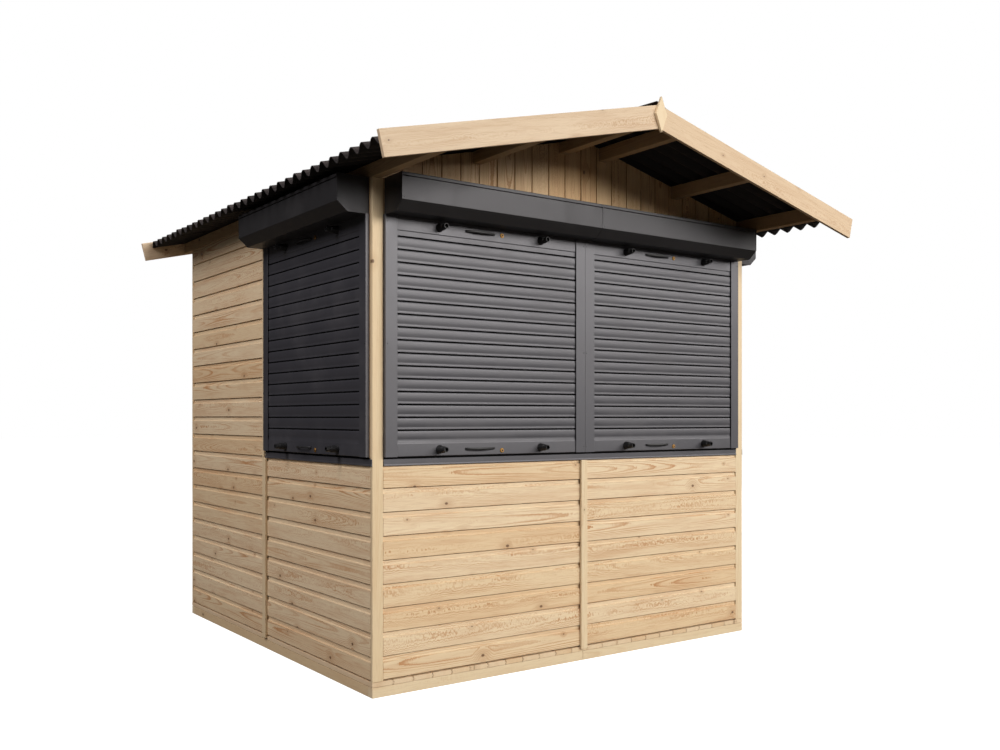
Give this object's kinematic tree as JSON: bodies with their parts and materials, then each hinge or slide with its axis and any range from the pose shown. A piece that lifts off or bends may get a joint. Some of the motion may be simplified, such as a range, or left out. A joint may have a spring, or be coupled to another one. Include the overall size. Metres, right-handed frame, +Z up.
{
  "type": "wooden market hut",
  "caption": "Small timber sales hut with horizontal board cladding, a low gable roof of dark corrugated sheet that overhangs the front, and closed grey roller shutters above counter height.",
  "frame": {"origin": "on the ground under the middle of the hut's walls, on the underside of the base bearers", "axes": "+Z up, -Y out of the front wall, +X to the right as seen from the front"},
  "size_m": [3.034, 3.189, 2.7934],
  "materials": {
    "pine_frame": "sawn softwood, untreated",
    "pine_floor": "planed softwood, untreated",
    "pine_cladding": "planed softwood boards, untreated",
    "pine_trim": "planed softwood, untreated",
    "pine_gable": "planed softwood boards, untreated",
    "shutter_grey": "satin anthracite coating",
    "box_grey": "satin anthracite coating",
    "bitumen_sheet": "matt black bitumen fibre sheet",
    "black_rubber": "matt black"
  },
  "bodies": {
    "root": {"base_frame_left": "pine_frame", "base_frame_right": "pine_frame", "floor": "pine_floor", "front_wall_left": "pine_cladding", "front_wall_right": "pine_cladding", "left_wall_front": "pine_cladding", "left_wall_rear": "pine_cladding", "right_wall_front": "pine_cladding", "right_wall_rear": "pine_cladding", "rear_wall_left": "pine_cladding", "rear_wall_right": "pine_cladding", "front_opening_frame": "pine_frame", "left_opening_frame": "pine_frame", "right_opening_frame": "pine_frame", "sills": "shutter_grey", "corner_boards": "pine_trim", "front_batten": "pine_trim", "side_battens": "pine_trim", "rear_batten": "pine_trim", "front_gable": "pine_gable", "rear_gable": "pine_gable", "ridge_purlins": "pine_frame", "middle_purlins": "pine_frame", "eave_purlins": "pine_frame", "roof_sheet_left": "bitumen_sheet", "roof_sheet_right": "bitumen_sheet", "ridge_cap": "bitumen_sheet", "barge_front_left": "pine_trim", "barge_front_right": "pine_trim", "barge_rear_left": "pine_trim", "barge_rear_right": "pine_trim", "apex_covers": "pine_trim", "front_guides": "shutter_grey", "left_guides": "shutter_grey", "right_guides": "shutter_grey", "front_left_curtain": "shutter_grey", "front_right_curtain": "shutter_grey", "left_curtain": "shutter_grey", "right_curtain": "shutter_grey", "front_left_box": "box_grey", "front_right_box": "box_grey", "left_box": "box_grey", "right_box": "box_grey", "shutter_stops": "black_rubber", "lift_handles": "black_rubber"}
  },
  "joints": []
}
